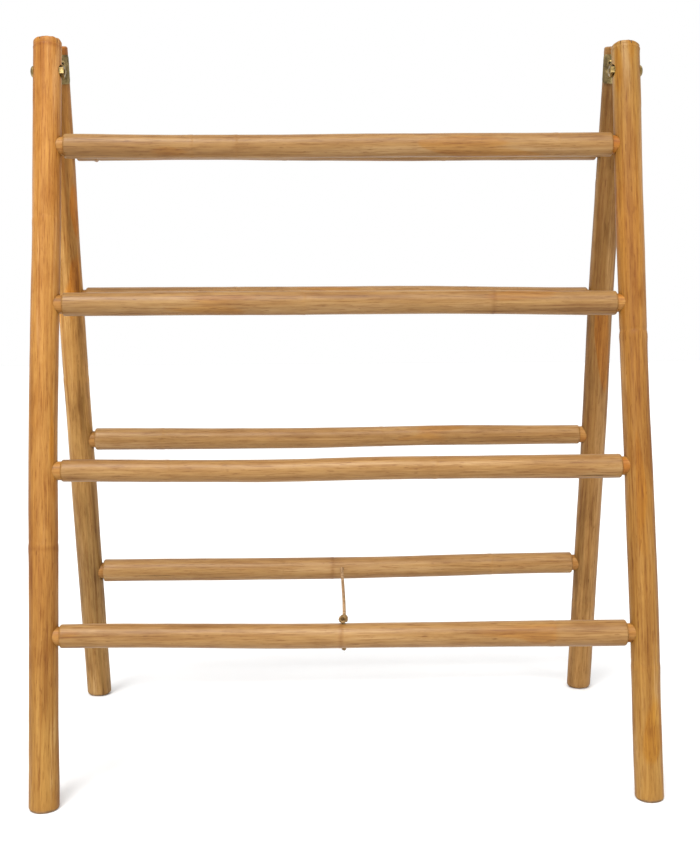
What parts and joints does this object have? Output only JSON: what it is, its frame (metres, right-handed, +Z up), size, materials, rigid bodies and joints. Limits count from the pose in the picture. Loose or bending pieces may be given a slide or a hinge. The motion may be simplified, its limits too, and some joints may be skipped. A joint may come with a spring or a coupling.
{
  "type": "folding double ladder rack",
  "caption": "Free-standing folding rack of two lacquered cane ladder frames hinged at the top and held open by a jute twine, with round rungs to hang things over.",
  "frame": {"origin": "on the floor, midway between the front and rear feet and midway between the left and right poles", "axes": "+Z up, +X to the right across the rungs, +Y from the front frame to the rear frame"},
  "size_m": [0.6554, 0.3938, 0.7891],
  "materials": {
    "front_pole_cane": "clear lacquered cane, warm golden tan with lengthwise streaks",
    "rear_pole_cane": "clear lacquered cane, browner and olive tan",
    "rung_cane": "clear lacquered cane, beige tan",
    "bracket_brass": "brass-plated pressed steel, slightly dulled",
    "fastener_brass": "yellow-plated fasteners",
    "jute_twine": "two-ply jute twine"
  },
  "bodies": {
    "front_frame": {"front_left_pole": "front_pole_cane", "front_right_pole": "front_pole_cane", "front_rung_bottom": "rung_cane", "front_rung_lower": "rung_cane", "front_rung_upper": "rung_cane", "front_rung_top": "rung_cane", "left_pivot_bolt": "fastener_brass", "left_pivot_washer": "fastener_brass", "left_pivot_nut": "fastener_brass", "right_pivot_bolt": "fastener_brass", "right_pivot_washer": "fastener_brass", "right_pivot_nut": "fastener_brass", "front_twine_knot": "jute_twine"},
    "rear_frame": {"rear_left_pole": "rear_pole_cane", "rear_right_pole": "rear_pole_cane", "rear_rung_bottom": "rung_cane", "rear_rung_lower": "rung_cane", "rear_rung_upper": "rung_cane", "rear_rung_top": "rung_cane", "left_hinge_bracket": "bracket_brass", "left_bracket_screws": "fastener_brass", "right_hinge_bracket": "bracket_brass", "right_bracket_screws": "fastener_brass", "stay_twine": "jute_twine", "rear_twine_knot": "jute_twine"}
  },
  "joints": [
    {"name": "fold", "type": "hinge", "parent": "front_frame", "child": "rear_frame", "pos_m": [0, -0.02516, 0.75079], "axis": [-1, 0, 0], "range_deg": [0, 25], "deforming": ["stay_twine"]}
  ]
}
